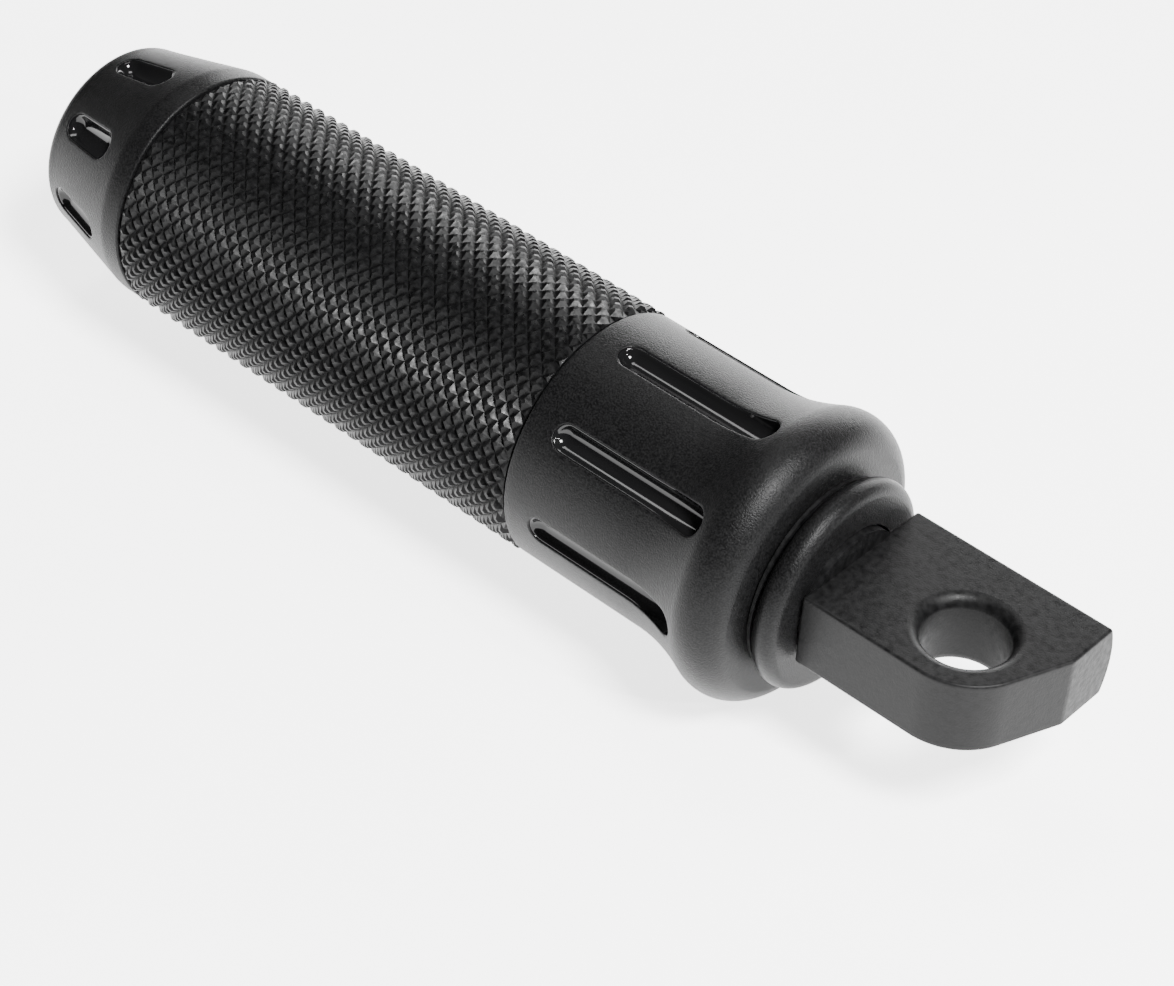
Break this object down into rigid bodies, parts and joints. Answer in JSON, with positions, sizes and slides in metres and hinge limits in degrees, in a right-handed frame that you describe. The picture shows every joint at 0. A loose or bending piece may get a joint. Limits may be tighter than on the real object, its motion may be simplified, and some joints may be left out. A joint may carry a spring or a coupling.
{
  "type": "foot peg",
  "caption": "Motorcycle foot peg: knurled round grip with a slotted flared collar, a dished slotted end cap and a flat male clevis tongue for a folding pivot pin.",
  "frame": {"origin": "centre of the pivot pin's hole, half way through the tongue", "axes": "+X along the peg from the pivot to the end cap, +Z along the pivot pin, +Y towards the side of the tongue with the large round corner, the side the peg folds to"},
  "size_m": [0.1456, 0.036, 0.036],
  "materials": {
    "black_anodised": "satin black anodised, bead blasted",
    "black_knurl": "black anodised diamond knurl",
    "tongue_steel": "black oxide, satin",
    "plain_steel": "zinc plated",
    "rubber": "matte"
  },
  "bodies": {
    "root": {"mount_tongue": "tongue_steel", "neck_ring": "black_anodised", "neck_shim": "tongue_steel", "collar": "black_anodised", "knurled_sleeve": "black_knurl", "end_cap": "black_anodised", "core_tube": "plain_steel", "draw_bolt": "plain_steel", "flat_washer": "plain_steel", "lock_washer": "plain_steel", "stem_key": "plain_steel", "core_dowel_1": "plain_steel", "core_dowel_2": "plain_steel", "sleeve_dowel_1": "plain_steel", "sleeve_dowel_2": "plain_steel", "stem_seal_ring": "rubber", "rattle_ring_inner": "rubber", "rattle_ring_outer": "rubber", "cap_seal_ring": "rubber"}
  },
  "joints": []
}
